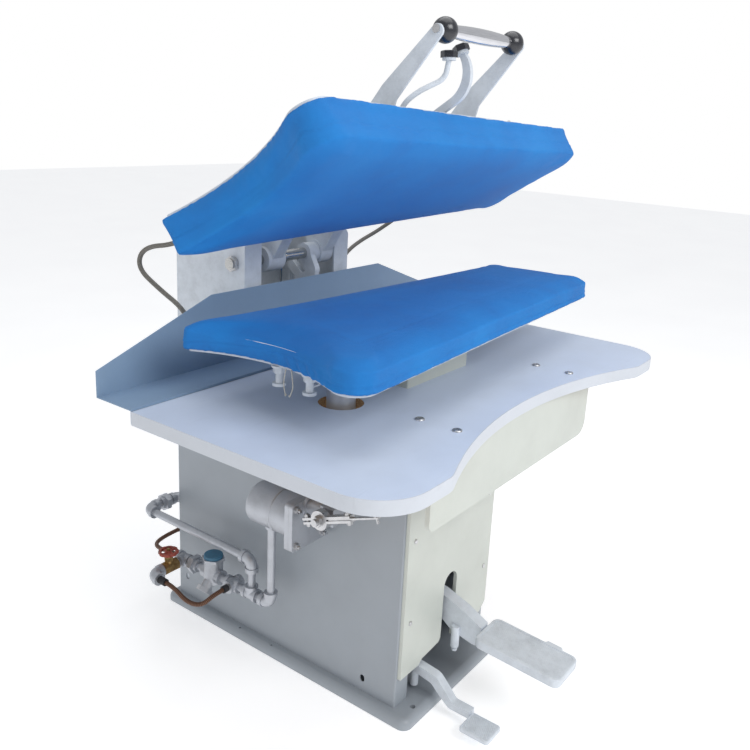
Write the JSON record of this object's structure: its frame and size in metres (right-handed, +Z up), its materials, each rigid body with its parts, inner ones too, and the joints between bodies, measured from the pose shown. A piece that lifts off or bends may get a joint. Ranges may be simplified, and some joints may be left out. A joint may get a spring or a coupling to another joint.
{
  "type": "trouser press",
  "caption": "Foot-operated utility steam press for trousers: padded head hinged over a padded buck, on a cabinet with worktop, garment tray, pedals and steam piping.",
  "frame": {"origin": "on the floor, at the centre of the base plate's four anchor holes", "axes": "+Z up, +X to the operator's right, -Y towards the operator"},
  "size_m": [1.3515, 1.2373, 1.6562],
  "materials": {
    "black_plastic": "gloss",
    "black_rubber": "matt",
    "blue_cloth": "woven",
    "blue_grey_paint": "satin",
    "blue_plastic": "matt",
    "braided_hose": "braided",
    "brass": "cast",
    "chipboard": "raw",
    "chrome": "mirror",
    "copper_hose": "ribbed",
    "cotton": "twisted",
    "cream_paint": "satin",
    "edging": "satin",
    "grey_green_paint": "satin",
    "laminate": "fine texture",
    "light_grey_paint": "satin",
    "polished_steel": "polished",
    "red_paint": "worn gloss",
    "silver_paint": "metallic satin",
    "zinc_steel": "zinc plated"
  },
  "bodies": {
    "stand": {"apron_panel": "cream_paint", "balance_rod": "polished_steel", "base_plate": "grey_green_paint", "buck_casting": "light_grey_paint", "buck_frame": "grey_green_paint", "buck_pad": "blue_cloth", "cabinet_shell": "grey_green_paint", "casing_fasteners": "zinc_steel", "cord_cleats": "light_grey_paint", "drain_hose": "copper_hose", "drawstring_left": "cotton", "drawstring_right": "cotton", "front_cover": "cream_paint", "garment_tray": "blue_grey_paint", "globe_valve": "brass", "head_hose_left": "braided_hose", "head_hose_right": "braided_hose", "hose_fittings": "zinc_steel", "hose_sleeves": "black_rubber", "pedal_stand": "grey_green_paint", "pedestal_shroud": "cream_paint", "pivot_shaft": "polished_steel", "return_hose": "copper_hose", "small_pedal_bracket": "grey_green_paint", "steam_fittings": "silver_paint", "steam_pipes": "silver_paint", "tower_back_panel": "light_grey_paint", "tower_posts": "light_grey_paint", "trap_cap": "blue_plastic", "trap_pot": "silver_paint", "vacuum_elbow": "silver_paint", "vacuum_pipe": "silver_paint", "valve_body": "silver_paint", "valve_cover": "silver_paint", "valve_cover_bolts": "zinc_steel", "worktop_brackets": "cream_paint", "worktop_core": "chipboard", "worktop_edging": "edging", "worktop_laminate": "laminate"},
    "head": {"head_casting": "light_grey_paint", "head_pad": "blue_cloth", "head_yoke": "light_grey_paint", "handle_arms": "light_grey_paint", "grip_bar": "chrome", "grip_balls": "black_plastic", "head_hardware": "zinc_steel", "thumb_lever_bracket": "light_grey_paint"},
    "thumb_left": {"thumb_lever_left": "light_grey_paint", "thumb_knob_left": "black_plastic"},
    "thumb_right": {"thumb_lever_right": "light_grey_paint", "thumb_knob_right": "black_plastic"},
    "main_pedal": {"main_pedal_arm": "light_grey_paint", "main_pedal_tread": "light_grey_paint"},
    "push_rod": {"push_rod": "light_grey_paint"},
    "small_pedal": {"small_pedal_arm": "light_grey_paint", "small_pedal_tread": "light_grey_paint"},
    "steam_lever": {"valve_lever": "zinc_steel", "valve_spindle": "zinc_steel"},
    "drain_wheel": {"handwheel": "red_paint", "valve_stem": "brass"}
  },
  "joints": [
    {"name": "head_hinge", "type": "hinge", "parent": "stand", "child": "head", "pos_m": [0, 0.192, 1.065], "axis": [1, 0, 0], "range_deg": [0, 33.7], "stiffness_Nm_per_rad": 620, "springref_deg": -57.3},
    {"name": "main_pedal_hinge", "type": "hinge", "parent": "stand", "child": "main_pedal", "pos_m": [0.006, 0.027, 0.29], "axis": [1, 0, 0], "range_deg": [0, 10.02]},
    {"name": "push_rod_hinge", "type": "hinge", "parent": "main_pedal", "child": "push_rod", "pos_m": [0.08675, 0.259, 0.2697], "axis": [1, 0, 0], "range_deg": [-10.02, 0]},
    {"name": "small_pedal_hinge", "type": "hinge", "parent": "stand", "child": "small_pedal", "pos_m": [-0.1125, -0.25, 0.12], "axis": [1, 0, 0], "range_deg": [0, 3.5], "stiffness_Nm_per_rad": 30, "springref_deg": -22.92},
    {"name": "thumb_left_hinge", "type": "hinge", "parent": "head", "child": "thumb_left", "pos_m": [-0.1205, -0.232, 1.43312], "axis": [1, 0, 0], "range_deg": [0, 6], "stiffness_Nm_per_rad": 2.5, "springref_deg": -22.92},
    {"name": "thumb_right_hinge", "type": "hinge", "parent": "head", "child": "thumb_right", "pos_m": [-0.01, -0.232, 1.43312], "axis": [1, 0, 0], "range_deg": [0, 6], "stiffness_Nm_per_rad": 2.5, "springref_deg": -22.92},
    {"name": "steam_lever_hinge", "type": "hinge", "parent": "stand", "child": "steam_lever", "pos_m": [-0.285, -0.228, 0.535], "axis": [1, 0, 0], "range_deg": [-20, 20]},
    {"name": "drain_wheel_turn", "type": "hinge", "parent": "stand", "child": "drain_wheel", "pos_m": [-0.342, 0.305, 0.254], "axis": [0, 0, 1], "range_deg": [0, 1080]}
  ],
  "couplings": [
    {"joint": "main_pedal_hinge", "follows": "head_hinge", "ratio": 0.2967},
    {"joint": "push_rod_hinge", "follows": "head_hinge", "ratio": -0.2967}
  ]
}
